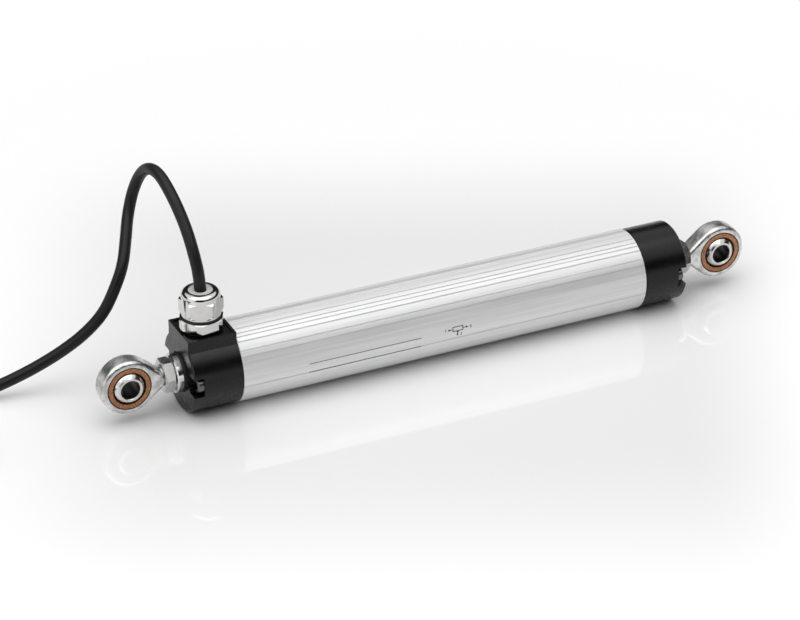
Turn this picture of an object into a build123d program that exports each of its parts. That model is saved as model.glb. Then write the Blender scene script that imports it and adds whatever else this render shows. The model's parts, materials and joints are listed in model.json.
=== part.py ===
# Linear potentiometer: a round extruded barrel that holds a resistive track,
# read by a wiper carriage on a push rod, with a rod-end bearing at each end.
# X runs along the sensor from the centre of the rear ball towards the push rod.
# Z is up: the cable gland stands on top of the rear cap. Sizes are millimetres.
from build123d import *
import os
from math import cos, pi, radians, sin, sqrt, tan

os.makedirs("parts", exist_ok=True)

# Barrel
barrel_diameter = 35.0
barrel_length = 186.8
barrel_wall = 3.0
barrel_edge = 0.25
clamp_channel_angle = 65.0
clamp_channel_width = 3.9
clamp_channel_depth = 0.45
gasket_thickness = 0.4

# Grooves along the barrel: the angle of each from the top, and its size
barrel_grooves = [(2.0, 0.4), (16.0, 0.4), (24.0, 0.4), (30.0, 0.4), (37.5, 0.5), (51.0, 0.6), (103.0, 0.3)]

# Screws that hold the caps, one at each side of the barrel
screw_edge_distance = 3.9
screw_radius = 1.75
screw_head_radius = 3.2
screw_head_height = 2.5
screw_head_edge = 0.35
screw_key_across_flats = 3.0
screw_key_depth = 1.4
screw_engagement = 12.0
screw_clearance = 0.2
port_boss_radius = 3.4
port_gap = 0.5

# Caps
cap_step = 0.3
rear_cap_length = 21.3
front_cap_length = 19.8
cap_edge = 0.6
pocket_width = 8.4
pocket_clearance = 0.15
pocket_depth = 4.3
pocket_corner = 2.0
spigot_length = 4.0
spigot_clearance = 0.2
spigot_wall = 3.3
cap_floor = 14.5

# Block on the rear cap that carries the gland
block_half_width = 10.8
block_rise = 1.45
block_rim = 1.2
block_recess = 0.6

# Rod ends: a spherical bearing of 8 mm bore in a forged eye
eye_bore_radius = 4.0
ball_width = 12.0
ball_radius = 7.9375
ball_edge = 0.4
race_width = 9.0
race_outer_radius = 9.6
race_clearance = 0.03
race_edge = 0.2
race_lip = 0.45
eye_radius = 12.0
eye_rounding = 1.9
neck_radius = 4.5
neck_centre = 11.75
neck_reach = 14.6
shank_radius = 4.0
shank_length = 22.0
shank_edge = 0.8
thread_clearance = 0.02
nut_across_flats = 13.0
nut_thickness = 4.7
nut_edge = 0.7
rear_nut_turn = 53.0
front_nut_turn = 0.0

# Places of the rear cap and the front ball along the sensor
rear_cap_x = 23.6
front_reach = 23.1

# Flanged bush in the rear cap that the rear rod end screws into
flange_radius = 8.4
flange_thickness = 2.5
flange_edge = 0.4
flange_seal_thickness = 2.3
flange_seal_radius = 8.2
flange_recess_radius = 8.6
flange_recess_depth = 1.0
bush_body_radius = 6.0
bush_length = 17.4

# Cable gland
gland_offset = 10.4
gland_fit = 0.05
gland_thread_radius = 5.9
gland_thread_length = 6.6
gland_bore_radius = 3.4
gland_washer_radius = 7.8
gland_washer_thickness = 1.3
gland_hex_across_flats = 17.7
gland_hex_corner_radius = 9.5
gland_hex_height = 4.4
gland_hex_edge = 0.3
gland_turn = 4.7
gland_ring_radius = 7.9
gland_ring_height = 1.2
gland_neck_radius = 6.6
gland_neck_length = 7.6
gland_nut_across_flats = 16.0
gland_nut_round_radius = 8.2
gland_nut_turn = 39.0
gland_nut_foot = 0.4
gland_nut_foot_slope = 60.0
gland_nut_top_slope = 30.0
gland_nut_hex_height = 7.1
gland_nut_collar = 1.2
gland_dome_height = 2.2
gland_lip_radius = 5.65
gland_mouth_radius = 5.15
gland_mouth_depth = 1.8
gland_seal_length = 8.4
gland_seal_sink = 0.25
gland_seal_radius = 5.1
gland_clamp_slots = 12
gland_clamp_slot_width = 0.8

# Push rod, its bush and its wiper ring
rod_radius = 6.0
journal_radius = 4.0
running_clearance = 0.05
rod_protrusion = 3.0
rod_bore_spare = 1.0
rod_bush_radius = 8.0
wiper_ring_radius = 9.5
wiper_ring_length = 5.0
wiper_lip = 0.6
clip_radius = 6.5
clip_groove_radius = 3.4
clip_thickness = 1.0
clip_opening = 5.0
clip_play = 0.15
journal_end = 0.8
buffer_length = 13.0
buffer_bore_radius = 6.5

# Wiper carriage
carriage_start_gap = 13.7
carriage_length = 46.0
carriage_clearance = 0.4
carriage_rib_gap = 0.3
glide_width = 6.0
glide_length = 5.0
glide_inset = 3.0
glide_depth = 1.2
glide_angle = 40.0

# Track board, wipers and leads
board_thickness = 1.6
board_edge_gap = 0.45
board_bush_gap = 0.5
board_slot_gap = 0.05
board_end_gap = 0.2
board_grip = 1.2
board_rib_height = 4.8
track_thickness = 0.2
track_width = 4.0
track_y = 3.2
track_margin = 4.0
terminal_inset = 3.5
terminal_radius = 0.7
terminal_height = 1.8
terminal_pitch = 4.0
lead_radius = 0.6
lead_pitch = 1.7
lead_bend = 3.0
lead_wall_gap = 1.6
lead_clearance = 1.8
lead_fan_gap = 1.2
finger_thickness = 0.3
finger_width = 3.2
finger_length = 11.0
finger_foot = 6.0
finger_tip = 2.0
finger_rise = 0.5
finger_slit = 0.3
finger_gap = 0.05
wiper_inset = 20.0

# Cable: its route from the gland over the back and down to the floor, the coil
# that holds the rest of its length, and its bare end
cable_diameter = 5.0
cable_route = [
    (34.0, 0.0, 30.5),
    (34.0, 0.0, 40.5),
    (33.5, 4.5, 50.5),
    (33.3, 13.0, 60.0),
    (31.9, 24.0, 69.5),
    (30.6, 36.0, 74.8),
    (29.0, 47.0, 71.0),
    (26.0, 52.0, 60.5),
    (21.8, 49.0, 50.0),
    (17.6, 40.8, 44.0),
    (12.8, 32.4, 36.1),
    (7.4, 29.6, 27.0),
    (2.3, 29.6, 17.4),
    (-5.7, 31.4, 8.7),
    (-14.3, 34.0, 1.8),
    (-24.0, 36.3, -4.0),
    (-34.0, 38.2, -8.6),
    (-45.0, 39.8, -12.4),
    (-58.0, 41.5, -15.0),
    (-76.0, 43.0, -15.0),
    (-95.0, 42.5, -15.0),
]
coil_centre_x = -95.0
coil_centre_y = 9.5
coil_inner_turn_radius = 23.0
coil_lower_turns = 3
coil_upper_turns = 2
tail_route = [
    (-123.0, 9.5, -10.0),
    (-122.9, -1.5, -9.8),
    (-122.6, -12.0, -10.0),
    (-122.2, -21.5, -12.8),
    (-122.0, -31.0, -15.0),
    (-122.0, -39.5, -15.0),
]
core_radius = 0.65
core_pitch = 1.5
core_spread = 3.2
core_length = 12.0
ferrule_radius = 0.9
ferrule_length = 6.0

# Lengths worked out from the dimensions above
barrel_radius = barrel_diameter / 2
bore_radius = barrel_radius - barrel_wall
cap_radius = barrel_radius - cap_step
screw_pitch_radius = barrel_radius - screw_edge_distance
block_top_z = barrel_radius + block_rise
rear_seam_x = rear_cap_x + rear_cap_length
barrel_x = rear_seam_x + gasket_thickness
barrel_end_x = barrel_x + barrel_length
front_seam_x = barrel_end_x + gasket_thickness
front_face_x = front_seam_x + front_cap_length
front_ball_x = front_face_x + front_reach
spigot_radius = bore_radius - spigot_clearance
pocket_inner_y = screw_pitch_radius - screw_head_radius - pocket_clearance
port_edge_y = screw_pitch_radius - port_boss_radius - port_gap
port_half_height = port_boss_radius + port_gap
rear_spigot_x = rear_seam_x + spigot_length
front_spigot_x = front_seam_x - spigot_length
flange_seal_x = rear_cap_x + flange_recess_depth - flange_seal_thickness
flange_x = flange_seal_x - flange_thickness
carriage_start_x = rear_seam_x + carriage_start_gap
carriage_radius = bore_radius - carriage_clearance
carriage_end_x = carriage_start_x + carriage_length
rod_end_x = front_face_x + rod_protrusion
clip_x = carriage_start_x - clip_play - clip_thickness
board_top_z = -rod_bush_radius - board_bush_gap - track_thickness
board_bottom_z = board_top_z - board_thickness
board_middle_z = board_top_z - board_thickness / 2
board_half_width = sqrt(bore_radius**2 - board_middle_z**2) - board_edge_gap
board_x = rear_spigot_x + board_end_gap
terminal_x = board_x + terminal_inset
cavity_radius = spigot_radius - spigot_wall
lead_level_z = cavity_radius - lead_wall_gap
lead_fan_x = rear_seam_x + lead_fan_gap
rib_top_z = board_middle_z + board_rib_height / 2
carriage_floor_z = rib_top_z + carriage_rib_gap
track_top_z = board_top_z + track_thickness
gland_x = rear_cap_x + gland_offset
gland_seat_z = block_top_z - block_recess
gland_hex_z = gland_seat_z + gland_washer_thickness
gland_hex_top_z = gland_hex_z + gland_hex_height
gland_nut_z = gland_hex_top_z + gland_ring_height
gland_nut_top_z = gland_nut_z + gland_nut_foot + gland_nut_hex_height
gland_dome_z = gland_nut_top_z + gland_nut_collar
gland_top_z = gland_dome_z + gland_dome_height
gland_neck_top_z = gland_hex_top_z + gland_neck_length
gland_seal_top_z = gland_top_z - gland_seal_sink
cable_radius = cable_diameter / 2
floor_z = -barrel_radius
both_sides = (-1, 1)
port_places = [(side * screw_pitch_radius, 0) for side in both_sides]


def save(solid, name):
    # Labels a finished piece and writes its file.
    solid.label = name
    export_step(solid, f"parts/{name}.step")


def cut_sides(edge, half_height):
    # Cuts the sketch in progress back at both sides, to clear the screw ports.
    for side in both_sides:
        with Locations((side * (edge + barrel_radius / 2), 0)):
            Rectangle(barrel_radius, 2 * half_height, mode=Mode.SUBTRACT)


def rim_place(side, angle):
    # Point on the barrel's rim, at an angle from the top towards one side.
    return (side * barrel_radius * sin(radians(angle)), barrel_radius * cos(radians(angle)))


# Extruded barrel: clamp channels and fine grooves outside, screw ports and
# board slots inside
with BuildPart() as housing_tube:
    with BuildSketch(Plane.YZ.offset(barrel_x)):
        Circle(barrel_radius)
        for side in both_sides:
            for angle, size in barrel_grooves:
                with Locations(rim_place(side, angle)):
                    Rectangle(size, size, rotation=45 - side * angle, mode=Mode.SUBTRACT)
            with Locations(rim_place(side, clamp_channel_angle)):
                Rectangle(
                    clamp_channel_width,
                    2 * clamp_channel_depth,
                    rotation=-side * clamp_channel_angle,
                    mode=Mode.SUBTRACT,
                )
        Circle(bore_radius, mode=Mode.SUBTRACT)
        with Locations(*port_places):
            Circle(port_boss_radius)
        for side in both_sides:
            with Locations((side * (board_half_width - board_grip + barrel_wall / 2), board_middle_z)):
                Rectangle(barrel_wall, board_rib_height)
        with Locations((0, board_middle_z)):
            Rectangle(
                2 * (board_half_width + board_slot_gap),
                board_thickness + 2 * board_slot_gap,
                mode=Mode.SUBTRACT,
            )
        with Locations(*port_places):
            Circle(screw_radius + running_clearance, mode=Mode.SUBTRACT)
    extrude(amount=barrel_length)
    with BuildSketch(Plane.XZ):
        with BuildLine():
            Polyline(
                (barrel_x, 0),
                (barrel_x, barrel_radius - barrel_edge),
                (barrel_x + barrel_edge, barrel_radius),
                (barrel_end_x - barrel_edge, barrel_radius),
                (barrel_end_x, barrel_radius - barrel_edge),
                (barrel_end_x, 0),
                close=True,
            )
        make_face()
    revolve(axis=Axis.X, mode=Mode.INTERSECT)
save(housing_tube.part, "housing_tube")


def gasket(start_x):
    # Flat gasket between a cap and the barrel, with a lobe round each screw.
    edge_radius = cap_radius - spigot_clearance
    with BuildPart() as sheet:
        with BuildSketch(Plane.YZ.offset(start_x)):
            Circle(edge_radius)
            Circle(bore_radius, mode=Mode.SUBTRACT)
            with Locations(*port_places):
                Circle(port_boss_radius)
            Circle(edge_radius, mode=Mode.INTERSECT)
            with Locations(*port_places):
                Circle(screw_radius + screw_clearance, mode=Mode.SUBTRACT)
        extrude(amount=gasket_thickness)
    return sheet.part


save(gasket(rear_seam_x), "rear_gasket")
save(gasket(barrel_end_x), "front_gasket")


def screw_pockets(face_x):
    # Outline of the screw pockets, which break out through the sides of a cap.
    with BuildSketch(Plane.YZ.offset(face_x)) as pockets:
        for side in both_sides:
            with Locations((side * (pocket_inner_y + cap_radius / 2), 0)):
                Rectangle(cap_radius, pocket_width)
        inner_corners = pockets.vertices().filter_by(lambda corner: abs(corner.X) < cap_radius)
        fillet(inner_corners, pocket_corner)
    return pockets.sketch


def screw_holes(face_x):
    # Outline of the clearance holes for the screws.
    with BuildSketch(Plane.YZ.offset(face_x)) as holes:
        with Locations(*port_places):
            Circle(screw_radius + screw_clearance)
    return holes.sketch


def spigot(seam_x):
    # Outline of the spigot that centres a cap, cut away for the ports and board.
    with BuildSketch(Plane.YZ.offset(seam_x)) as outline:
        Circle(spigot_radius)
        cut_sides(port_edge_y, port_half_height)
        with Locations((0, rib_top_z + port_gap - barrel_radius / 2)):
            Rectangle(2 * barrel_radius, barrel_radius, mode=Mode.SUBTRACT)
    return outline.sketch


# Rear cap: moulded cup with the gland block on top
with BuildPart() as rear_cap:
    with BuildSketch(Plane.YZ.offset(rear_cap_x)):
        Circle(cap_radius)
    extrude(amount=rear_cap_length)
    chamfer(rear_cap.edges().filter_by(GeomType.CIRCLE).group_by(Axis.X)[0], cap_edge)
    with BuildSketch(Plane.YZ.offset(rear_cap_x)):
        with Locations((0, block_top_z / 2)):
            Rectangle(2 * block_half_width, block_top_z)
    extrude(amount=rear_cap_length)
    extrude(spigot(rear_seam_x), amount=spigot_length)
    with BuildSketch(Plane.XY.offset(block_top_z)) as recess:
        with Locations((rear_cap_x + rear_cap_length / 2, 0)):
            Rectangle(rear_cap_length - 2 * block_rim, 2 * (block_half_width - block_rim))
        fillet(recess.vertices(), block_rim)
    extrude(amount=-block_recess, mode=Mode.SUBTRACT)
    with BuildSketch(Plane.XY.offset(gland_seat_z)):
        with Locations((gland_x, 0)):
            Circle(gland_thread_radius + gland_fit)
    extrude(amount=lead_level_z - lead_clearance - gland_seat_z, mode=Mode.SUBTRACT)
    with BuildSketch(Plane.YZ.offset(rear_cap_x)):
        Circle(flange_recess_radius)
    extrude(amount=flange_recess_depth, mode=Mode.SUBTRACT)
    with BuildSketch(Plane.YZ.offset(rear_cap_x)):
        Circle(bush_body_radius + thread_clearance)
    extrude(amount=cap_floor, mode=Mode.SUBTRACT)
    with BuildSketch(Plane.YZ.offset(rear_cap_x + cap_floor)):
        Circle(cavity_radius)
        cut_sides(port_edge_y - spigot_wall / 2, port_half_height)
    extrude(amount=rear_cap_length + spigot_length - cap_floor, mode=Mode.SUBTRACT)
    extrude(screw_pockets(rear_cap_x), amount=pocket_depth, mode=Mode.SUBTRACT)
    extrude(screw_holes(rear_cap_x), amount=rear_cap_length, mode=Mode.SUBTRACT)
save(rear_cap.part, "rear_cap")

# Front cap: carries the rod bush and the wiper ring
with BuildPart() as front_cap:
    with BuildSketch(Plane.YZ.offset(front_seam_x)):
        Circle(cap_radius)
    extrude(amount=front_cap_length)
    chamfer(front_cap.edges().filter_by(GeomType.CIRCLE).group_by(Axis.X)[-1], cap_edge)
    extrude(spigot(front_seam_x), amount=-spigot_length)
    with BuildSketch(Plane.YZ.offset(front_spigot_x)):
        Circle(rod_bush_radius + thread_clearance)
    extrude(amount=spigot_length + front_cap_length, mode=Mode.SUBTRACT)
    with BuildSketch(Plane.YZ.offset(front_face_x)):
        Circle(wiper_ring_radius + thread_clearance)
    extrude(amount=-wiper_ring_length, mode=Mode.SUBTRACT)
    extrude(screw_pockets(front_face_x), amount=-pocket_depth, mode=Mode.SUBTRACT)
    extrude(screw_holes(front_face_x), amount=-front_cap_length, mode=Mode.SUBTRACT)
save(front_cap.part, "front_cap")


def cap_screws(face_x, inward, cap_length):
    # Two socket-head screws, seated on the floors of the pockets.
    seat_x = face_x + inward * pocket_depth
    shank = cap_length - pocket_depth + gasket_thickness + screw_engagement
    with BuildPart() as screws:
        with BuildSketch(Plane.YZ.offset(seat_x)):
            with Locations(*port_places):
                Circle(screw_head_radius)
        extrude(amount=-inward * screw_head_height)
        rims = screws.edges().filter_by(GeomType.CIRCLE).group_by(Axis.X)
        chamfer(rims[0 if inward > 0 else -1], screw_head_edge)
        with BuildSketch(Plane.YZ.offset(seat_x)):
            with Locations(*port_places):
                Circle(screw_radius)
        extrude(amount=inward * shank)
        with BuildSketch(Plane.YZ.offset(seat_x - inward * screw_head_height)):
            with Locations(*port_places):
                RegularPolygon(screw_key_across_flats / 2, 6, major_radius=False)
        extrude(amount=inward * screw_key_depth, mode=Mode.SUBTRACT)
    return screws.part


save(cap_screws(rear_cap_x, 1, rear_cap_length), "rear_cap_screws")
save(cap_screws(front_face_x, -1, front_cap_length), "front_cap_screws")

# Flanged bush, moulded into the rear cap, for the shank of the rear rod end
with BuildPart() as rear_bush:
    with BuildSketch(Plane.YZ.offset(flange_x)):
        Circle(flange_radius)
    extrude(amount=flange_thickness)
    chamfer(rear_bush.edges().filter_by(GeomType.CIRCLE).group_by(Axis.X)[0], flange_edge)
    with BuildSketch(Plane.YZ.offset(flange_x)):
        Circle(bush_body_radius)
    extrude(amount=bush_length)
    with BuildSketch(Plane.YZ.offset(flange_x)):
        Circle(shank_radius + thread_clearance)
    extrude(amount=bush_length, mode=Mode.SUBTRACT)
save(rear_bush.part, "rear_bush")

# Rubber ring between that flange and the cap
with BuildPart() as flange_seal:
    with BuildSketch(Plane.YZ.offset(flange_seal_x)):
        Circle(flange_seal_radius)
        Circle(bush_body_radius + thread_clearance, mode=Mode.SUBTRACT)
    extrude(amount=flange_seal_thickness)
save(flange_seal.part, "flange_seal")


def rod_end(ball_x, inward):
    # Forged eye, teardrop in outline, with a threaded shank towards the barrel.
    side_plane = Plane(origin=(ball_x, race_width / 2, 0), x_dir=(inward, 0, 0), z_dir=(0, -1, 0))
    neck_x = ball_x + inward * neck_reach
    with BuildPart() as forging:
        with BuildSketch(side_plane):
            Circle(eye_radius)
            with Locations((neck_centre, 0)):
                Circle(neck_radius)
            make_hull()
        extrude(amount=race_width)
        rims = forging.edges().filter_by(Plane.XZ)
        fillet(rims, eye_rounding)
        neck_plane = Plane(origin=(neck_x, 0, 0), z_dir=(-inward, 0, 0))
        split(bisect_by=neck_plane, keep=Keep.TOP)
        with BuildSketch(Plane(origin=(neck_x, 0, 0), z_dir=(inward, 0, 0))):
            Circle(shank_radius)
        extrude(amount=shank_length)
        tip = forging.edges().filter_by(GeomType.CIRCLE).sort_by(Axis.X)[-1 if inward > 0 else 0]
        chamfer(tip, shank_edge)
        with BuildSketch(side_plane):
            Circle(race_outer_radius)
        extrude(amount=race_width, mode=Mode.SUBTRACT)
    return forging.part


def race(ball_x):
    # Bronze race, turned to the ball inside and pressed into the eye.
    with BuildPart() as ring:
        with BuildSketch(Plane(origin=(ball_x, race_width / 2, 0), z_dir=(0, -1, 0))):
            Circle(race_outer_radius)
        extrude(amount=race_width)
        chamfer(ring.edges().filter_by(GeomType.CIRCLE), race_edge)
        with Locations((ball_x, 0, 0)):
            Sphere(ball_radius + race_clearance, mode=Mode.SUBTRACT)
        mouths = ring.edges().filter_by(GeomType.CIRCLE).filter_by(lambda edge: edge.radius < ball_radius)
        chamfer(mouths, race_lip)
    return ring.part


def ball(ball_x):
    # Bearing ball with flat faces and a chamfered bore across the sensor.
    with BuildPart() as sphere:
        with Locations((ball_x, 0, 0)):
            Sphere(ball_radius)
            Box(2 * ball_radius, ball_width, 2 * ball_radius, mode=Mode.INTERSECT)
        with BuildSketch(Plane(origin=(ball_x, ball_width / 2, 0), z_dir=(0, -1, 0))):
            Circle(eye_bore_radius)
        extrude(amount=ball_width, mode=Mode.SUBTRACT)
        bore_edges = sphere.edges().filter_by(GeomType.CIRCLE).filter_by(
            lambda edge: abs(edge.radius - eye_bore_radius) < running_clearance
        )
        chamfer(bore_edges, ball_edge)
    return sphere.part


def turned_limit(length, face_radius, corner_radius, edge):
    # Half profile that turns both ends of a hexagon standing on the origin.
    with BuildSketch(Plane.XZ) as limit:
        with BuildLine():
            Polyline(
                (0, 0),
                (face_radius, 0),
                (corner_radius, edge),
                (corner_radius, length - edge),
                (face_radius, length),
                (0, length),
                close=True,
            )
        make_face()
    return limit.sketch


def jam_nut(start_x, turn):
    # Hexagon jam nut on the shank of a rod end.
    with BuildPart() as nut:
        with BuildSketch(Plane.XY):
            RegularPolygon(nut_across_flats / 2, 6, major_radius=False, rotation=turn)
        extrude(amount=nut_thickness)
        face_radius = nut_across_flats / 2 - nut_edge / 4
        limit = turned_limit(nut_thickness, face_radius, nut_across_flats / 2 / cos(pi / 6), nut_edge)
        revolve(limit, axis=Axis.Z, mode=Mode.INTERSECT)
        with BuildSketch(Plane.XY):
            Circle(shank_radius + thread_clearance)
        extrude(amount=nut_thickness, mode=Mode.SUBTRACT)
    return Plane(origin=(start_x, 0, 0), x_dir=(0, 1, 0), z_dir=(1, 0, 0)) * nut.part


save(rod_end(0, 1), "rear_rod_end")
save(race(0), "rear_race")
save(ball(0), "rear_ball")
save(jam_nut(flange_x - nut_thickness, rear_nut_turn), "rear_jam_nut")
save(rod_end(front_ball_x, -1), "front_rod_end")
save(race(front_ball_x), "front_race")
save(ball(front_ball_x), "front_ball")
save(jam_nut(rod_end_x, front_nut_turn), "front_jam_nut")

# Gland body: thread in the cap, turned hexagon, and a neck for the nut
with BuildPart() as gland_body:
    with BuildSketch(Plane.XY):
        RegularPolygon(gland_hex_across_flats / 2, 6, major_radius=False, rotation=gland_turn)
    extrude(amount=gland_hex_height)
    flat_radius = gland_hex_across_flats / 2
    limit = turned_limit(gland_hex_height, flat_radius, gland_hex_corner_radius, gland_hex_edge)
    revolve(limit, axis=Axis.Z, mode=Mode.INTERSECT)
    with BuildSketch(Plane.XY):
        Circle(gland_thread_radius)
    extrude(amount=-gland_washer_thickness - gland_thread_length)
    with BuildSketch(Plane.XY.offset(gland_hex_height)):
        Circle(gland_neck_radius)
    extrude(amount=gland_neck_length)
    with BuildSketch(Plane.XY.offset(-gland_washer_thickness - gland_thread_length)):
        Circle(gland_bore_radius)
    extrude(amount=gland_thread_length + gland_hex_height + gland_neck_length + 1, mode=Mode.SUBTRACT)
    seat_depth = gland_neck_top_z - gland_seal_top_z + gland_seal_length
    with BuildSketch(Plane.XY.offset(gland_neck_top_z - gland_hex_z)):
        Circle(gland_seal_radius + gland_fit)
    extrude(amount=-seat_depth, mode=Mode.SUBTRACT)
save(Pos(gland_x, 0, gland_hex_z) * gland_body.part, "gland_body")

# Flat washer that seals the gland to the block
with BuildPart() as gland_washer:
    with BuildSketch(Plane.XY.offset(gland_seat_z)):
        with Locations((gland_x, 0)):
            Circle(gland_washer_radius)
            Circle(gland_thread_radius + gland_fit, mode=Mode.SUBTRACT)
    extrude(amount=gland_washer_thickness)
save(gland_washer.part, "gland_washer")

# Rubber ring under the gland nut
with BuildPart() as gland_ring:
    with BuildSketch(Plane.XY.offset(gland_hex_top_z)):
        with Locations((gland_x, 0)):
            Circle(gland_ring_radius)
            Circle(gland_neck_radius + gland_fit, mode=Mode.SUBTRACT)
    extrude(amount=gland_ring_height)
save(gland_ring.part, "gland_ring")

# Gland nut: hexagon between turned ends, closed by a dome with a round mouth
with BuildPart() as gland_nut:
    with BuildSketch(Plane.XY.offset(gland_nut_foot)):
        RegularPolygon(gland_nut_across_flats / 2, 6, major_radius=False, rotation=gland_nut_turn)
    extrude(amount=gland_nut_hex_height)
    corner_radius = gland_nut_across_flats / 2 / cos(pi / 6)
    dome_base = gland_nut_foot + gland_nut_hex_height + gland_nut_collar
    dome_top = dome_base + gland_dome_height
    foot_taper = (corner_radius - gland_nut_round_radius) * tan(radians(gland_nut_foot_slope))
    top_taper = (corner_radius - gland_nut_round_radius) * tan(radians(gland_nut_top_slope))
    with BuildSketch(Plane.XZ):
        with BuildLine():
            Polyline(
                (0, 0),
                (gland_nut_round_radius, 0),
                (gland_nut_round_radius, gland_nut_foot),
                (corner_radius, gland_nut_foot + foot_taper),
                (corner_radius, dome_base - gland_nut_collar - top_taper),
                (gland_nut_round_radius, dome_base - gland_nut_collar),
                (0, dome_base - gland_nut_collar),
                close=True,
            )
        make_face()
    revolve(axis=Axis.Z, mode=Mode.INTERSECT)
    with BuildSketch(Plane.XZ):
        with BuildLine():
            foot = Line((0, 0), (gland_nut_round_radius, 0))
            wall = Line(foot @ 1, (gland_nut_round_radius, dome_base))
            crown = TangentArc(wall @ 1, (gland_lip_radius, dome_top), tangent=(0, 1))
            top = Line(crown @ 1, (0, dome_top))
            Line(top @ 1, foot @ 0)
        make_face()
    revolve(axis=Axis.Z)
    with BuildSketch(Plane.XY):
        Circle(gland_neck_radius + gland_fit)
    extrude(amount=dome_top - gland_mouth_depth, mode=Mode.SUBTRACT)
    with BuildSketch(Plane.XY):
        Circle(gland_mouth_radius)
    extrude(amount=dome_top, mode=Mode.SUBTRACT)
save(Pos(gland_x, 0, gland_nut_z) * gland_nut.part, "gland_nut")

# Clamp with sprung fingers that the nut presses round the seal
with BuildPart() as gland_clamp:
    clamp_height = gland_top_z - gland_mouth_depth - gland_neck_top_z - gland_fit
    with BuildSketch(Plane.XY.offset(gland_neck_top_z)):
        with Locations((gland_x, 0)):
            Circle(gland_neck_radius - gland_fit)
            Circle(gland_seal_radius + gland_fit, mode=Mode.SUBTRACT)
    extrude(amount=clamp_height)
    slot_length = gland_neck_radius - gland_mouth_radius + 2 * gland_clamp_slot_width
    with BuildSketch(Plane.XY.offset(gland_neck_top_z + gland_clamp_slot_width)):
        with Locations((gland_x, 0)):
            with PolarLocations(gland_neck_radius, gland_clamp_slots):
                Rectangle(slot_length, gland_clamp_slot_width)
    extrude(amount=clamp_height, mode=Mode.SUBTRACT)
save(gland_clamp.part, "gland_clamp")

# Rubber seal that grips the cable
with BuildPart() as gland_seal:
    with BuildSketch(Plane.XY.offset(gland_seal_top_z)):
        with Locations((gland_x, 0)):
            Circle(gland_seal_radius)
            Circle(cable_radius + gland_fit, mode=Mode.SUBTRACT)
    extrude(amount=-gland_seal_length)
save(gland_seal.part, "gland_seal")

# Plain bush and wiper ring that guide and clean the push rod
with BuildPart() as rod_bush:
    with BuildSketch(Plane.YZ.offset(front_spigot_x)):
        Circle(rod_bush_radius)
        Circle(rod_radius + running_clearance, mode=Mode.SUBTRACT)
    extrude(amount=front_face_x - wiper_ring_length - front_spigot_x)
save(rod_bush.part, "rod_bush")

with BuildPart() as rod_wiper:
    with BuildSketch(Plane.YZ.offset(front_face_x - wiper_ring_length)):
        Circle(wiper_ring_radius)
        Circle(rod_radius + wiper_lip, mode=Mode.SUBTRACT)
    extrude(amount=wiper_ring_length)
    with BuildSketch(Plane.YZ.offset(front_face_x - wiper_lip)):
        Circle(rod_radius + 2 * wiper_lip)
        Circle(rod_radius + running_clearance, mode=Mode.SUBTRACT)
    extrude(amount=wiper_lip)
save(rod_wiper.part, "rod_wiper")

# Rubber buffer that stops the carriage at full stroke
with BuildPart() as end_buffer:
    with BuildSketch(Plane.YZ.offset(front_spigot_x - buffer_length)):
        Circle(rod_bush_radius)
        Circle(buffer_bore_radius, mode=Mode.SUBTRACT)
    extrude(amount=buffer_length)
save(end_buffer.part, "end_buffer")

# Push rod: ground steel, with a journal that turns in the carriage
with BuildPart() as push_rod:
    shoulder_x = carriage_end_x + clip_play
    journal_x = clip_x - journal_end
    with BuildSketch(Plane.YZ.offset(shoulder_x)):
        Circle(rod_radius)
    extrude(amount=rod_end_x - shoulder_x)
    with BuildSketch(Plane.YZ.offset(journal_x)):
        Circle(journal_radius)
    extrude(amount=shoulder_x - journal_x)
    with BuildSketch(Plane.YZ.offset(clip_x)):
        Circle(journal_radius)
        Circle(clip_groove_radius, mode=Mode.SUBTRACT)
    extrude(amount=clip_thickness, mode=Mode.SUBTRACT)
    thread_depth = rod_end_x - (front_ball_x - neck_reach - shank_length) + rod_bore_spare
    with BuildSketch(Plane.YZ.offset(rod_end_x)):
        Circle(shank_radius + thread_clearance)
    extrude(amount=-thread_depth, mode=Mode.SUBTRACT)
save(push_rod.part, "push_rod")

# Retaining clip that keeps the journal in the carriage
with BuildPart() as rod_clip:
    with BuildSketch(Plane.YZ.offset(clip_x)):
        Circle(clip_radius)
        Circle(clip_groove_radius, mode=Mode.SUBTRACT)
        with Locations((0, clip_radius)):
            Rectangle(clip_opening, 2 * clip_radius, mode=Mode.SUBTRACT)
    extrude(amount=clip_thickness)
save(rod_clip.part, "rod_clip")


def glide_sketch(start_x):
    # Outline of the glide pads, on the upper shoulders of the carriage.
    with BuildSketch(Plane.YZ.offset(start_x)) as pads:
        for side in both_sides:
            turn = radians(glide_angle)
            with Locations((side * carriage_radius * sin(turn), carriage_radius * cos(turn))):
                Rectangle(glide_width, 4 * glide_depth, rotation=-side * glide_angle)
        Circle(bore_radius - running_clearance, mode=Mode.INTERSECT)
        Circle(carriage_radius - glide_depth, mode=Mode.SUBTRACT)
    return pads.sketch


glide_starts = [
    carriage_start_x + glide_inset,
    carriage_end_x - glide_inset - glide_length,
]

# Wiper carriage: moulded slide that follows the bore, the ports and the board
with BuildPart() as carriage:
    with BuildSketch(Plane.YZ.offset(carriage_start_x)):
        Circle(carriage_radius)
        cut_sides(port_edge_y, port_half_height)
        with Locations((0, carriage_floor_z - barrel_radius / 2)):
            Rectangle(2 * barrel_radius, barrel_radius, mode=Mode.SUBTRACT)
        Circle(journal_radius + running_clearance, mode=Mode.SUBTRACT)
    extrude(amount=carriage_length)
    for start_x in glide_starts:
        extrude(glide_sketch(start_x), amount=glide_length, mode=Mode.SUBTRACT)
save(carriage.part, "carriage")

with BuildPart() as carriage_glides:
    for start_x in glide_starts:
        extrude(glide_sketch(start_x), amount=glide_length)
save(carriage_glides.part, "carriage_glides")


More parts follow.
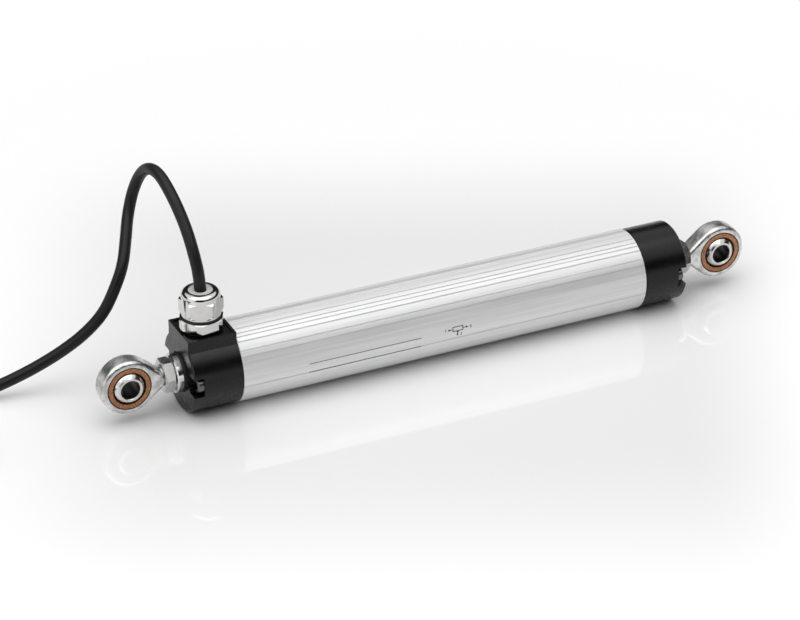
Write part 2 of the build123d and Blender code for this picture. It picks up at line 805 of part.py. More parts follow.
def wiper(y):
    # Sprung contact fingers that trail from the carriage down to a track.
    foot_x = carriage_start_x + wiper_inset
    tip_x = foot_x + finger_length
    tip_z = track_top_z + finger_gap
    base_z = carriage_floor_z - finger_thickness
    with BuildPart() as contact:
        with BuildSketch(Plane.XZ.offset(-y - finger_width / 2)):
            with BuildLine():
                Polyline(
                    (foot_x - finger_foot, base_z),
                    (foot_x, base_z),
                    (tip_x - finger_tip, tip_z),
                    (tip_x, tip_z + finger_rise),
                    (tip_x, tip_z + finger_rise + finger_thickness),
                    (tip_x - finger_tip, tip_z + finger_thickness),
                    (foot_x, carriage_floor_z),
                    (foot_x - finger_foot, carriage_floor_z),
                    close=True,
                )
            make_face()
        extrude(amount=finger_width)
        slit_length = finger_length - 1
        for step in (-0.5, 0.5):
            with Locations((tip_x - slit_length / 2 + 1, y + step * finger_width / 1.5, base_z)):
                Box(slit_length + 2, finger_slit, 4 * finger_rise + 2, mode=Mode.SUBTRACT)
    return contact.part


save(wiper(track_y), "track_wiper")
save(wiper(-track_y), "collector_wiper")

# Board that carries the resistance track and the collector track
board_length = front_spigot_x - board_end_gap - board_x
with BuildPart() as track_board:
    with Locations((board_x, 0, board_bottom_z)):
        Box(
            board_length,
            2 * board_half_width,
            board_thickness,
            align=(Align.MIN, Align.CENTER, Align.MIN),
        )
save(track_board.part, "track_board")

track_x = terminal_x + track_margin
track_length = board_x + board_length - track_margin - track_x


def track(y):
    # Printed track along the board.
    with BuildPart() as strip:
        with Locations((track_x, y, board_top_z)):
            Box(track_length, track_width, track_thickness, align=(Align.MIN, Align.CENTER, Align.MIN))
    return strip.part


save(track(track_y), "resistance_track")
save(track(-track_y), "collector_track")

# Solder pins at the rear end of the board
with BuildPart() as terminals:
    with BuildSketch(Plane.XY.offset(board_top_z)):
        with Locations(*[(terminal_x, step * terminal_pitch) for step in (-1, 0, 1)]):
            Circle(terminal_radius)
    extrude(amount=terminal_height)
save(terminals.part, "terminals")


def swept_tube(points, radii, tube_radius):
    # Round tube along straight runs that are joined by tangent arcs.
    with BuildPart() as tube:
        with BuildLine() as path:
            FilletPolyline(*points, radius=radii)
        with BuildSketch(Plane(origin=path.line @ 0, z_dir=path.line % 0)):
            Circle(tube_radius)
        sweep()
    return tube.part


# Inner leads from the cable's cores to the terminals
for step, name in zip((-1, 0, 1), ("lead_low", "lead_wiper", "lead_high")):
    near_y = step * lead_pitch
    far_y = step * terminal_pitch
    lead_points = [
        (gland_x, near_y, cable_route[0][2]),
        (gland_x, near_y, lead_level_z),
        (lead_fan_x, near_y, lead_level_z),
        (terminal_x, far_y, lead_level_z - lead_bend),
        (terminal_x, far_y, board_top_z + terminal_height),
    ]
    save(swept_tube(lead_points, [lead_bend, lead_bend, lead_bend / 2], lead_radius), name)


def arc_radii(points):
    # Largest tidy arc at each corner of a cord's route.
    corners = []
    for before, here, after in zip(points, points[1:], points[2:]):
        run_in = Vector(*here) - Vector(*before)
        run_out = Vector(*after) - Vector(*here)
        shorter = min(run_in.length, run_out.length)
        corners.append(0.45 * shorter / tan(radians(run_in.get_angle(run_out)) / 2))
    return corners


# Cable from the gland to the coil
cable_radii = arc_radii(cable_route)
print("cable arc radii", [round(radius, 1) for radius in cable_radii])
save(swept_tube(cable_route, cable_radii, cable_radius), "cable")

# Coil: the outer shape of its turns, with fewer in the upper layer
with BuildPart() as cable_coil:
    ring_inner = coil_inner_turn_radius - cable_radius
    lower_outer = ring_inner + coil_lower_turns * cable_diameter
    upper_outer = ring_inner + coil_upper_turns * cable_diameter
    with BuildSketch(Plane.XZ) as ring_section:
        with BuildLine():
            Polyline(
                (ring_inner, 0),
                (lower_outer, 0),
                (lower_outer, cable_diameter),
                (upper_outer, cable_diameter),
                (upper_outer, 2 * cable_diameter),
                (ring_inner, 2 * cable_diameter),
                close=True,
            )
        make_face()
        fillet(ring_section.vertices(), cable_radius / 2)
    revolve(axis=Axis.Z)
save(Pos(coil_centre_x, coil_centre_y, floor_z) * cable_coil.part, "cable_coil")

# Cable end past the coil
tail_radii = arc_radii(tail_route)
print("tail arc radii", [round(radius, 1) for radius in tail_radii])
save(swept_tube(tail_route, tail_radii, cable_radius), "cable_tail")

# Bare cores, fanned out on the floor, each with a ferrule
tail_x, tail_y, tail_z = tail_route[-1]
ferrule_group = []
for step, name in zip((-1, 0, 1), ("core_low", "core_wiper", "core_high")):
    core_x = tail_x + step * core_pitch
    end_x = core_x + step * core_spread
    lie_z = floor_z + ferrule_radius
    core_points = [
        (core_x, tail_y, tail_z),
        (core_x, tail_y - core_length / 3, tail_z),
        (end_x - step * core_spread / 4, tail_y - 2 * core_length / 3, lie_z),
        (end_x, tail_y - core_length, lie_z),
    ]
    save(swept_tube(core_points, arc_radii(core_points), core_radius), name)
    heading = Vector(*core_points[-1]) - Vector(*core_points[-2])
    with BuildPart() as ferrule:
        with BuildSketch(Plane(origin=core_points[-1], z_dir=heading)):
            Circle(ferrule_radius)
        extrude(amount=ferrule_length)
    ferrule_group.append(ferrule.part)
save(Compound(children=ferrule_group), "core_ferrules")
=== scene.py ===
import json
import math

import bmesh
import bpy
from mathutils import Matrix, Vector


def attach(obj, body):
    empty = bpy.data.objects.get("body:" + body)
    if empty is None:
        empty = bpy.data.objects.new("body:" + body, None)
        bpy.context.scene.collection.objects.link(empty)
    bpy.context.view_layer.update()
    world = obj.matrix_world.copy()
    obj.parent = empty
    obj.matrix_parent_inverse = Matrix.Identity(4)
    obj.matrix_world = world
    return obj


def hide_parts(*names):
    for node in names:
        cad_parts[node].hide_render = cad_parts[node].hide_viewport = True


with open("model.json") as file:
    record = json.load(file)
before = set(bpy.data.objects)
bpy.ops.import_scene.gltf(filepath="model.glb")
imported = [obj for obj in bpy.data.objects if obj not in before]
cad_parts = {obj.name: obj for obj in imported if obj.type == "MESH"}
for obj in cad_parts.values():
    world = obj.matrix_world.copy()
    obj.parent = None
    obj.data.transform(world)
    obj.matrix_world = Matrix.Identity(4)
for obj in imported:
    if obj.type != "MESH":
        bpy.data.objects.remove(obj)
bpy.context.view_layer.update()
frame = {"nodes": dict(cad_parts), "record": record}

nodes = frame["nodes"]
scene = bpy.context.scene
scene.view_settings.view_transform = "Standard"
MM = 0.001

# Camera
camera_data = bpy.data.cameras.new("camera")
camera_data.sensor_width = 36.0
camera_data.lens = 153.246
camera_data.clip_start = 0.01
camera_data.clip_end = 20.0
camera = bpy.data.objects.new("camera", camera_data)
scene.collection.objects.link(camera)
scene.camera = camera
camera_place = Vector((-0.40256, -1.13488, 0.70349))
azimuth = math.radians(-24.8676)
elevation = math.radians(29.1733)
roll = math.radians(-0.1825)
back = Vector((
    math.sin(azimuth) * math.cos(elevation),
    -math.cos(azimuth) * math.cos(elevation),
    math.sin(elevation),
))
level = Vector((math.cos(azimuth), math.sin(azimuth), 0.0))
ahead = Vector((-level.y, level.x, 0.0))
upright = back.cross(level)
right = level * math.cos(roll) + upright * math.sin(roll)
up = upright * math.cos(roll) - level * math.sin(roll)
placing = Matrix((right, up, back)).transposed().to_4x4()
placing.translation = camera_place
camera.matrix_world = placing

# Cable: route, coil and tail are the points of one smooth curve
cable_route = [
    (34.0, 0.0, 30.5),
    (34.0, 0.0, 40.5),
    (33.5, 4.5, 50.5),
    (33.3, 13.0, 60.0),
    (31.9, 24.0, 69.5),
    (30.6, 36.0, 74.8),
    (29.0, 47.0, 71.0),
    (26.0, 52.0, 60.5),
    (21.8, 49.0, 50.0),
    (17.6, 40.8, 44.0),
    (12.8, 32.4, 36.1),
    (7.4, 29.6, 27.0),
    (2.3, 29.6, 17.4),
    (-5.7, 31.4, 8.7),
    (-14.3, 34.0, 1.8),
    (-24.0, 36.3, -4.0),
    (-34.0, 38.2, -8.6),
    (-45.0, 39.8, -12.4),
    (-58.0, 41.5, -15.0),
    (-76.0, 43.0, -15.0),
]
tail_route = [
    (-123.0, 9.5, -10.0),
    (-122.9, -1.5, -9.8),
    (-122.6, -12.0, -10.0),
    (-122.2, -21.5, -12.8),
    (-122.0, -31.0, -15.0),
    (-122.0, -39.5, -15.0),
]
CABLE_DIAMETER = 5.0
COIL_CENTRE = (-95.0, 9.5)
COIL_RADIUS = 28.0
TURN_PITCH = 5.1
LOWER_LAYER = -15.0
TURN_STEP = 20
COIL_START, COIL_END = 100, 1600
INWARD_STARTS = (300, 660)
INWARD_SWEEP = 90
CLIMB_START = 950
OUTWARD_START = 1275
LAYER_SWEEP = 80


def ease(value):
    value = min(max(value, 0.0), 1.0)
    return value * value * (3.0 - 2.0 * value)


def coil_point(angle):
    # Outer, middle and inner turn below, then inner and middle turn on top. The
    # curve cuts its points' corners, so they lie a little outside it.
    inward = sum(ease((angle - start) / INWARD_SWEEP) for start in INWARD_STARTS)
    inward -= ease((angle - OUTWARD_START) / LAYER_SWEEP)
    radius = COIL_RADIUS + TURN_PITCH * (1 - inward)
    radius *= (1 + 1 / math.cos(math.radians(TURN_STEP / 2))) / 2
    height = LOWER_LAYER + CABLE_DIAMETER * ease((angle - CLIMB_START) / LAYER_SWEEP)
    turn = math.radians(angle)
    return (
        COIL_CENTRE[0] + radius * math.cos(turn),
        COIL_CENTRE[1] + radius * math.sin(turn),
        height,
    )


coil_route = [coil_point(angle) for angle in range(COIL_START, COIL_END + 1, TURN_STEP)]


def smooth_curve(name, points, radius, ring=8):
    data = bpy.data.curves.new(name, "CURVE")
    data.dimensions = "3D"
    data.resolution_u = 12
    data.bevel_depth = 1.0  # the points' radii carry the real thickness
    data.bevel_resolution = ring
    data.use_fill_caps = True
    spline = data.splines.new("NURBS")
    spline.points.add(len(points) - 1)
    for knot, point in zip(spline.points, points):
        knot.co = (point[0] * MM, point[1] * MM, point[2] * MM, 1.0)
        knot.radius = radius * MM
    spline.order_u = 3
    spline.use_endpoint_u = True
    obj = bpy.data.objects.new(name, data)
    scene.collection.objects.link(obj)
    return obj


cable = smooth_curve("signal_cable", cable_route + coil_route + tail_route, CABLE_DIAMETER / 2)
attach(cable, "housing")
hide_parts("cable", "cable_coil", "cable_tail")

# Print on the barrel: two ruled lines and the circuit symbol, wrapped round it.
# A place is given along the barrel and as an arc length down from the symbol, and
# an angle is counted from the top towards the camera.
BARREL_RADIUS = 17.5
SYMBOL_ANGLE = 87.9
INK_HEIGHT = 0.02
INK_ROOT = -0.03
RULE_WIDTH = 0.28
SYMBOL_WIDTH = 0.32
DIGIT_WIDTH = 0.2
DOT_RADIUS = 0.45
ARC_STEP = 0.3


def arc_length(angle):
    return math.radians(angle - SYMBOL_ANGLE) * BARREL_RADIUS


def wrapped(along, down, height):
    angle = math.radians(SYMBOL_ANGLE) + down / BARREL_RADIUS
    radius = BARREL_RADIUS + height
    return Vector((along, -radius * math.sin(angle), radius * math.cos(angle))) * MM


def raised(ink, outline):
    # A thin solid of ink with the given outline.
    top = [ink.verts.new(wrapped(along, down, INK_HEIGHT)) for along, down in outline]
    foot = [ink.verts.new(wrapped(along, down, INK_ROOT)) for along, down in outline]
    ink.faces.new(top)
    ink.faces.new(reversed(foot))
    for index in range(len(outline)):
        ink.faces.new((foot[index], foot[index - 1], top[index - 1], top[index]))


def ink_line(ink, points, width):
    # Short overlapping bars, so that the line bends with the barrel.
    for (x0, s0), (x1, s1) in zip(points, points[1:]):
        run = Vector((x1 - x0, s1 - s0))
        steps = max(1, math.ceil(abs(run.y) / ARC_STEP))
        step = run / steps
        half = run.normalized() * width / 2
        side = Vector((-half.y, half.x))
        for index in range(steps):
            start = Vector((x0, s0)) + step * index - half
            end = Vector((x0, s0)) + step * (index + 1) + half
            raised(ink, [start - side, end - side, end + side, start + side])


def ink_dot(ink, along, down, radius, corners=14):
    outline = []
    for index in range(corners):
        turn = math.tau * index / corners
        outline.append((along + radius * math.cos(turn), down + radius * math.sin(turn)))
    raised(ink, outline)


def bow(centre_along, centre_up, radius, start, end, steps=10):
    # Points of an arc in a digit, turning clockwise from start to end.
    points = []
    for index in range(steps + 1):
        turn = math.radians(start + (end - start) * index / steps)
        points.append((centre_along + radius * math.cos(turn), centre_up + radius * math.sin(turn)))
    return points


# Digits one millimetre tall, as points across and up from their middle
DIGITS = {
    "1": [(-0.18, 0.28), (0.06, 0.5), (0.06, -0.5)],
    "2": bow(0.0, 0.22, 0.27, 165, -40) + [(-0.28, -0.5), (0.3, -0.5)],
    "3": bow(0.0, 0.25, 0.25, 150, -80) + bow(0.0, -0.23, 0.28, 80, -150),
}
RULE_ANGLES = (89.4, 103.4)
RULE_START, RULE_END = 74.3, 125.1
SYMBOL_START, SYMBOL_END = 138.0, 146.2
BOX_LEFT, BOX_RIGHT = 139.8, 144.4
BOX_EDGE_ANGLE = 91.1
WIPER_ALONG = 142.0
WIPER_ANGLES = (92.3, 97.0)
DIGIT_PLACES = (("1", 136.4, 87.6), ("3", 148.0, 88.1), ("2", 143.7, 96.8))

ink = bmesh.new()
for angle in RULE_ANGLES:
    ink_line(ink, [(RULE_START, arc_length(angle)), (RULE_END, arc_length(angle))], RULE_WIDTH)
for start, end in ((SYMBOL_START, BOX_LEFT), (BOX_RIGHT, SYMBOL_END)):
    ink_line(ink, [(start, 0.0), (end, 0.0)], SYMBOL_WIDTH)
box_half = arc_length(BOX_EDGE_ANGLE)
box = [
    (BOX_LEFT, -box_half),
    (BOX_RIGHT, -box_half),
    (BOX_RIGHT, box_half),
    (BOX_LEFT, box_half),
    (BOX_LEFT, -box_half),
]
ink_line(ink, box, SYMBOL_WIDTH)
wiper = [(WIPER_ALONG, arc_length(angle)) for angle in WIPER_ANGLES]
ink_line(ink, wiper, SYMBOL_WIDTH)
for along, down in [(SYMBOL_START, 0.0), (SYMBOL_END, 0.0)] + wiper:
    ink_dot(ink, along, down, DOT_RADIUS)
for digit, along, angle in DIGIT_PLACES:
    centre = arc_length(angle)
    ink_line(ink, [(along + across, centre - up) for across, up in DIGITS[digit]], DIGIT_WIDTH)
bmesh.ops.recalc_face_normals(ink, faces=ink.faces)
print_mesh = bpy.data.meshes.new("barrel_print")
ink.to_mesh(print_mesh)
ink.free()
barrel_print = bpy.data.objects.new("barrel_print", print_mesh)
scene.collection.objects.link(barrel_print)
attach(barrel_print, "housing")


# Materials
class Material:
    # A principled material with helpers for noise, colour ramps and bumps.
    def __init__(self, name, colour, metallic=0.0, roughness=0.5, **sockets):
        self.material = bpy.data.materials.new(name)
        self.material.use_nodes = True
        self.tree = self.material.node_tree
        self.shader = self.tree.nodes["Principled BSDF"]
        self.shader.inputs["Base Color"].default_value = (*colour, 1.0)
        self.shader.inputs["Metallic"].default_value = metallic
        self.shader.inputs["Roughness"].default_value = roughness
        for socket, value in sockets.items():
            self.shader.inputs[socket.replace("_", " ")].default_value = value
        self.place = None
        self.normal = None

    def node(self, kind, **settings):
        made = self.tree.nodes.new(kind)
        for key, value in settings.items():
            setattr(made, key, value)
        return made

    def link(self, source, target):
        self.tree.links.new(source, target)

    def coordinates(self, stretch=(1.0, 1.0, 1.0)):
        if self.place is None:
            self.place = self.node("ShaderNodeTexCoord")
        mapping = self.node("ShaderNodeMapping")
        mapping.inputs["Scale"].default_value = stretch
        self.link(self.place.outputs["Object"], mapping.inputs["Vector"])
        return mapping.outputs["Vector"]

    def noise(self, scale, stretch=(1.0, 1.0, 1.0), detail=4.0, rough=0.6):
        noise = self.node("ShaderNodeTexNoise")
        noise.inputs["Scale"].default_value = scale
        noise.inputs["Detail"].default_value = detail
        noise.inputs["Roughness"].default_value = rough
        self.link(self.coordinates(stretch), noise.inputs["Vector"])
        return noise.outputs["Fac"]

    def cells(self, scale):
        voronoi = self.node("ShaderNodeTexVoronoi")
        voronoi.inputs["Scale"].default_value = scale
        self.link(self.coordinates(), voronoi.inputs["Vector"])
        return voronoi.outputs["Distance"]

    def math(self, operation, first, second=None, third=None):
        made = self.node("ShaderNodeMath", operation=operation)
        for value, socket in zip((first, second, third), made.inputs):
            if value is None:
                continue
            if isinstance(value, (int, float)):
                socket.default_value = value
            else:
                self.link(value, socket)
        return made.outputs[0]

    def spread(self, source, low, high, from_low=0.3, from_high=0.7, shape="LINEAR"):
        made = self.node("ShaderNodeMapRange", interpolation_type=shape)
        made.inputs["From Min"].default_value = from_low
        made.inputs["From Max"].default_value = from_high
        made.inputs["To Min"].default_value = low
        made.inputs["To Max"].default_value = high
        self.link(source, made.inputs["Value"])
        return made.outputs["Result"]

    def ramp(self, source, *stops):
        made = self.node("ShaderNodeValToRGB")
        elements = made.color_ramp.elements
        while len(elements) < len(stops):
            elements.new(0.5)
        for element, (position, colour) in zip(elements, stops):
            element.position = position
            element.color = (*colour, 1.0)
        self.link(source, made.inputs["Fac"])
        return made.outputs["Color"]

    def colour(self, source):
        self.link(source, self.shader.inputs["Base Color"])

    def roughness(self, source):
        self.link(source, self.shader.inputs["Roughness"])

    def bump(self, source, height, strength=1.0):
        made = self.node("ShaderNodeBump")
        made.inputs["Strength"].default_value = strength
        made.inputs["Distance"].default_value = height
        self.link(source, made.inputs["Height"])
        if self.normal is not None:
            self.link(self.normal, made.inputs["Normal"])
        self.normal = made.outputs["Normal"]
        self.link(self.normal, self.shader.inputs["Normal"])

    def reach(self, position, direction):
        # How far a place lies along a level direction.
        steps = (self.math("MULTIPLY", position[axis], part) for axis, part in zip("XY", direction))
        return self.math("ADD", *steps)

    def length(self, first, second):
        squares = (self.math("MULTIPLY", value, value) for value in (first, second))
        return self.math("SQRT", self.math("ADD", *squares))

    def axes(self):
        split = self.node("ShaderNodeSeparateXYZ")
        self.link(self.coordinates(), split.inputs["Vector"])
        return split.outputs


BALL_CENTRES = (0.0, 0.2754)


def bore_distance(made):
    # Distance from the bore axis of the nearer ball, in metres.
    axes = made.axes()
    near = []
    for centre in BALL_CENTRES:
        along = made.math("SUBTRACT", axes["X"], centre)
        near.append(made.length(along, axes["Z"]))
    return made.math("MINIMUM", *near)


def shade(colour, factor):
    return tuple(min(channel * factor, 1.0) for channel in colour)


def speckled(material, colour, scale, amount, stretch=(1.0, 1.0, 1.0)):
    # Gives a surface small changes of colour about its own.
    stops = ((0.35, shade(colour, 1 - amount)), (0.65, shade(colour, 1 + amount)))
    material.colour(material.ramp(material.noise(scale, stretch), *stops))


def anodised():
    # Satin metal with fine lines along the extrusion.
    made = Material("anodised_extrusion", (0.74, 0.74, 0.74), metallic=0.7, roughness=0.42)
    streaks = made.noise(900.0, (0.02, 1.0, 1.0), detail=5.0)
    made.colour(made.ramp(streaks, (0.3, (0.73, 0.732, 0.735)), (0.7, (0.83, 0.83, 0.83))))
    made.roughness(made.spread(made.noise(60.0, (0.3, 1.0, 1.0)), 0.48, 0.56))
    made.bump(streaks, 0.00002, 0.6)
    return made


def moulded(name, colour, roughness, shine=0.5):
    made = Material(name, colour, roughness=roughness, Specular_IOR_Level=shine)
    speckled(made, colour, 700.0, 0.2)
    made.roughness(made.spread(made.noise(250.0), roughness - 0.04, roughness + 0.06))
    made.bump(made.noise(2600.0, detail=2.0), 0.00003, 0.35)
    return made


def rubber(name, colour, roughness=0.6):
    made = Material(name, colour, roughness=roughness)
    speckled(made, colour, 400.0, 0.15)
    made.bump(made.noise(1800.0), 0.00004, 0.3)
    return made


def plated(name, colour, roughness, grain=0.00002):
    made = Material(name, colour, metallic=1.0, roughness=roughness)
    speckled(made, colour, 300.0, 0.05)
    made.roughness(made.spread(made.noise(220.0), roughness * 0.8, roughness * 1.3))
    made.bump(made.noise(900.0, detail=3.0), grain, 0.3)
    return made


def polished_ball():
    # Bright outside. In the bore of either ball it is duller, and painted shade makes the bore
    # nearly black.
    made = plated("ball_steel", (0.58, 0.58, 0.58), 0.17, 0.000005)
    clear_of_bore_shade = made.spread(bore_distance(made), 0.0, 1.0, 0.00405, 0.00425)
    scratches = made.noise(700.0, (1.0, 0.1, 1.0))
    blend = made.math("MULTIPLY_ADD", scratches, 0.12, made.math("MULTIPLY", clear_of_bore_shade, 0.88))
    # The near-black colours that the ramp gives inside the bore are painted shade.
    made.colour(made.ramp(
        blend,
        (0.0, (0.03, 0.03, 0.03)),
        (0.13, (0.07, 0.07, 0.07)),
        (0.9, (0.60, 0.60, 0.59)),
    ))
    made.roughness(made.spread(clear_of_bore_shade, 0.4, 0.17, 0.0, 1.0))
    return made


def bronze():
    # Speckled, with painted shade at the joint with the eye and at the mouth for the ball.
    made = Material("race_bronze", (0.45, 0.22, 0.12), metallic=1.0, roughness=0.4)
    pores = made.cells(2200.0)
    distance = bore_distance(made)
    # Painted shade: near black in the groove at the joint with the eye and in the gap at the mouth
    # for the ball.
    past_mouth_shade = made.spread(distance, 0.0, 1.0, 0.0070, 0.0075)
    before_joint_shade = made.spread(distance, 1.0, 0.0, 0.0090, 0.0093)
    clear = made.math("MINIMUM", past_mouth_shade, before_joint_shade)
    value = made.math("MULTIPLY", clear, made.spread(pores, 0.15, 1.0, 0.05, 0.8))
    made.colour(made.ramp(
        value,
        (0.0, (0.012, 0.009, 0.007)),
        (0.3, (0.08, 0.035, 0.018)),
        (0.5, (0.30, 0.142, 0.078)),
        (0.9, (0.45, 0.225, 0.12)),
    ))
    made.roughness(made.spread(made.noise(500.0), 0.32, 0.5))
    made.bump(pores, 0.00004, 0.4)
    return made


def forged():
    # Forging skin under plating: dull, mottled and slightly uneven.
    made = Material("forged_steel", (0.55, 0.55, 0.54), metallic=1.0, roughness=0.42)
    skin = made.noise(260.0, detail=6.0)
    made.colour(made.ramp(skin, (0.34, (0.40, 0.40, 0.396)), (0.66, (0.80, 0.80, 0.79))))
    made.roughness(made.spread(made.noise(420.0), 0.24, 0.38))
    made.bump(made.noise(600.0, detail=6.0), 0.0002, 0.5)
    return made


def printed_board():
    made = Material("board_laminate", (0.03, 0.10, 0.05), roughness=0.35)
    axes = made.axes()
    threads = (made.math("SINE", made.math("MULTIPLY", axes[axis], 6000.0)) for axis in "XY")
    weave = made.math("MULTIPLY", *threads)
    shades = ((0.2, (0.02, 0.08, 0.035)), (0.8, (0.035, 0.12, 0.05)))
    made.colour(made.ramp(made.spread(weave, 0.0, 1.0, -1.0, 1.0), *shades))
    made.bump(weave, 0.00002, 0.3)
    return made


def film():
    made = Material("track_film", (0.012, 0.012, 0.012), roughness=0.25)
    speckled(made, (0.012, 0.012, 0.012), 300.0, 0.3, (0.1, 1.0, 1.0))
    made.bump(made.noise(1200.0, (0.05, 1.0, 1.0)), 0.00002, 0.3)
    return made


def jacket():
    made = Material("cable_jacket", (0.005, 0.005, 0.005), roughness=0.42, Specular_IOR_Level=0.3)
    speckled(made, (0.005, 0.005, 0.005), 500.0, 0.25)
    made.roughness(made.spread(made.noise(160.0), 0.36, 0.5))
    made.bump(made.noise(1500.0), 0.00004, 0.3)
    return made


finishes = {
    "anodised_barrel": anodised(),
    "cap_plastic": moulded("cap_plastic", (0.002, 0.002, 0.0021), 0.27, shine=0.32),
    "gasket_rubber": rubber("gasket_rubber", (0.015, 0.015, 0.015)),
    "screw_steel": plated("screw_steel", (0.14, 0.14, 0.14), 0.24),
    "bush_steel": plated("bush_steel", (0.66, 0.66, 0.66), 0.16),
    "forged_steel": forged(),
    "race_bronze": bronze(),
    "ball_steel": polished_ball(),
    "nut_steel": plated("nut_steel", (0.62, 0.62, 0.61), 0.22, 0.00001),
    "nickel": plated("nickel", (0.63, 0.626, 0.616), 0.06, 0.000004),
    "seal_rubber": rubber("seal_rubber", (0.55, 0.55, 0.54), 0.5),
    "clamp_plastic": moulded("clamp_plastic", (0.62, 0.62, 0.60), 0.4),
    "bearing_plastic": moulded("bearing_plastic", (0.03, 0.03, 0.032), 0.4),
    "wiper_rubber": rubber("wiper_rubber", (0.02, 0.02, 0.02)),
    "buffer_rubber": rubber("buffer_rubber", (0.025, 0.025, 0.025)),
    "rod_steel": plated("rod_steel", (0.70, 0.70, 0.71), 0.12, 0.00001),
    "clip_steel": plated("clip_steel", (0.2, 0.2, 0.2), 0.3),
    "carriage_plastic": moulded("carriage_plastic", (0.70, 0.69, 0.65), 0.4),
    "glide_plastic": moulded("glide_plastic", (0.02, 0.02, 0.02), 0.3),
    "wiper_metal": plated("wiper_metal", (0.75, 0.58, 0.32), 0.2),
    "board_laminate": printed_board(),
    "track_film": film(),
    "terminal_metal": plated("terminal_metal", (0.70, 0.69, 0.66), 0.3),
    "lead_brown": rubber("lead_brown", (0.09, 0.035, 0.015), 0.4),
    "lead_white": rubber("lead_white", (0.75, 0.75, 0.73), 0.4),
    "lead_blue": rubber("lead_blue", (0.02, 0.06, 0.30), 0.4),
    "cable_jacket": jacket(),
    "ferrule_metal": plated("ferrule_metal", (0.70, 0.69, 0.66), 0.25),
}


def dress(obj, finish):
    obj.data.materials.clear()
    obj.data.materials.append(finish.material)


for entry in frame["record"]["subparts"]:
    dress(nodes[entry["node"]], finishes[entry["material_slot"]])
dress(cable, finishes["cable_jacket"])
dress(barrel_print, finishes["track_film"])

# Floor
FLOOR_Z = -17.5 * MM
FLOOR_REACH = 6.0
FLOOR_CENTRE_X = 0.12
WHITE_LIFT = 0.21


def plane(name, corners):
    mesh = bpy.data.meshes.new(name)
    mesh.from_pydata(corners, [], [tuple(range(len(corners)))])
    obj = bpy.data.objects.new(name, mesh)
    scene.collection.objects.link(obj)
    return obj


floor = plane("floor", [
    (-FLOOR_REACH, -FLOOR_REACH, FLOOR_Z),
    (FLOOR_REACH, -FLOOR_REACH, FLOOR_Z),
    (FLOOR_REACH, FLOOR_REACH, FLOOR_Z),
    (-FLOOR_REACH, FLOOR_REACH, FLOOR_Z),
])


def pale_floor():
    # Pale grey round the object. It is lifted to white well in front, behind and
    # beside, where shadows still show, and far away it is plain white.
    made = Material("floor_gloss", (0.86, 0.86, 0.86), roughness=0.03, IOR=1.52)
    position = made.axes()
    depth = made.reach(position, ahead)
    aside = made.reach(position, level)
    greys = (
        made.spread(depth, 1.0, 0.0, 0.14, 0.275, "SMOOTHSTEP"),
        made.spread(depth, 0.0, 1.0, -0.175, -0.015, "SMOOTHSTEP"),
        made.spread(aside, 0.0, 1.0, -0.09, 0.03, "SMOOTHSTEP"),
        made.spread(aside, 1.0, 0.0, 0.224, 0.30, "SMOOTHSTEP"),
    )
    grey = greys[0]
    for fade in greys[1:]:
        grey = made.math("MULTIPLY", grey, fade)
    white = made.math("SUBTRACT", 1.0, grey)
    rays = made.node("ShaderNodeLightPath").outputs
    seen = made.math("MAXIMUM", rays["Is Camera Ray"], rays["Is Glossy Ray"])
    seen = made.math("MAXIMUM", seen, rays["Is Transmission Ray"])
    lift = made.node("ShaderNodeEmission")
    strength = made.math("MULTIPLY", made.math("MULTIPLY", white, seen), WHITE_LIFT)
    made.link(strength, lift.inputs["Strength"])
    lifted = made.node("ShaderNodeAddShader")
    made.link(made.shader.outputs["BSDF"], lifted.inputs[0])
    made.link(lift.outputs["Emission"], lifted.inputs[1])
    away = made.length(made.math("SUBTRACT", position["X"], FLOOR_CENTRE_X), position["Y"])
    far = made.spread(away, 0.0, 1.0, 0.22, 0.36, "SMOOTHSTEP")
    glow = made.node("ShaderNodeEmission")
    mix = made.node("ShaderNodeMixShader")
    made.link(made.math("MULTIPLY", far, seen), mix.inputs["Fac"])
    made.link(lifted.outputs["Shader"], mix.inputs[1])
    made.link(glow.outputs["Emission"], mix.inputs[2])
    made.link(mix.outputs["Shader"], made.tree.nodes["Material Output"].inputs["Surface"])
    return made


dress(floor, pale_floor())

# World: a studio with a pale backdrop low down all round, a dark band above it
# and bright light overhead, with one bright panel on the left and one dark card
# in front
world = bpy.data.worlds.new("studio")
scene.world = world
world.use_nodes = True
tree = world.node_tree


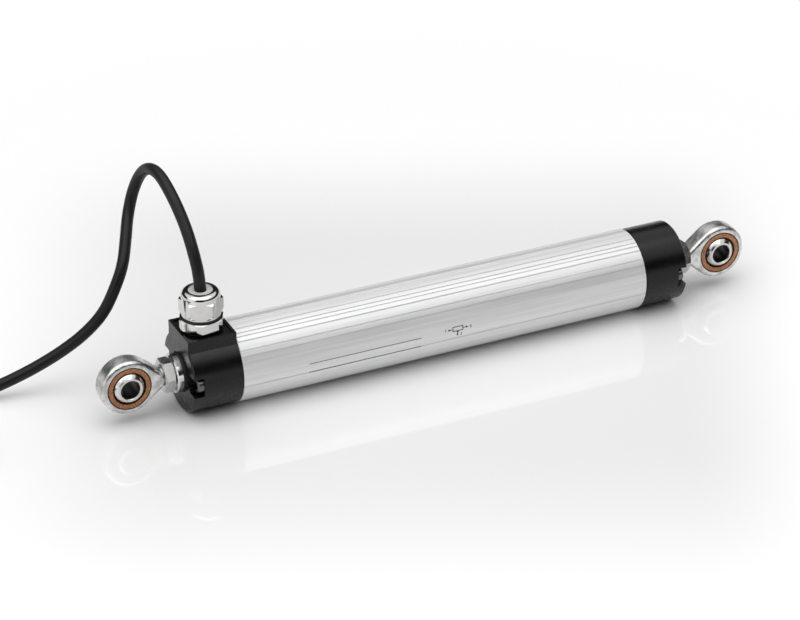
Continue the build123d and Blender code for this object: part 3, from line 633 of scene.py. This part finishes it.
def sky_dot(direction):
    made = tree.nodes.new("ShaderNodeVectorMath")
    made.operation = "DOT_PRODUCT"
    made.inputs[1].default_value = direction
    tree.links.new(heading.outputs["Generated"], made.inputs[0])
    return made.outputs["Value"]


def sky_ramp(source, *stops):
    made = tree.nodes.new("ShaderNodeValToRGB")
    elements = made.color_ramp.elements
    while len(elements) < len(stops):
        elements.new(0.5)
    for element, (position, value) in zip(elements, stops):
        element.position = position
        element.color = (value, value, value, 1.0)
    tree.links.new(source, made.inputs["Fac"])
    return made.outputs["Color"]


def sky_mix(operation, first, second):
    made = tree.nodes.new("ShaderNodeMix")
    made.data_type = "RGBA"
    made.blend_type = operation
    made.inputs["Factor"].default_value = 1.0
    tree.links.new(first, made.inputs["A"])
    tree.links.new(second, made.inputs["B"])
    return made.outputs["Result"]


heading = tree.nodes.new("ShaderNodeTexCoord")
overhead = sky_ramp(
    sky_dot(Vector((0, 0, 1))),
    (0.0, 1.0),
    (0.09, 0.95),
    (0.15, 0.02),
    (0.54, 0.02),
    (0.64, 1.0),
    (0.85, 1.0),
)
panel_way = (-1.1 * level - 0.8 * ahead + Vector((0, 0, 0.75))).normalized()
card_way = (Vector((0, 0, 0.25)) - ahead).normalized()
panel = sky_ramp(sky_dot(panel_way), (0.86, 0.0), (0.93, 1.0))
card = sky_ramp(sky_dot(card_way), (0.89, 1.0), (0.94, 0.0))
studio = sky_mix("MULTIPLY", sky_mix("ADD", overhead, panel), card)
background = tree.nodes["Background"]
background.inputs["Strength"].default_value = 1.0
tree.links.new(studio, background.inputs["Color"])


def softbox(name, place, target, size, power):
    data = bpy.data.lights.new(name, "AREA")
    data.shape = "RECTANGLE"
    data.size, data.size_y = size
    data.energy = power
    obj = bpy.data.objects.new(name, data)
    scene.collection.objects.link(obj)
    aim = Vector(target) - Vector(place)
    obj.location = place
    obj.rotation_mode = "QUATERNION"
    obj.rotation_quaternion = aim.to_track_quat("-Z", "Y")


softbox("top_light", (0.05, -0.2, 1.3), (0.13, 0.0, 0.0), (1.6, 1.2), 7.2)
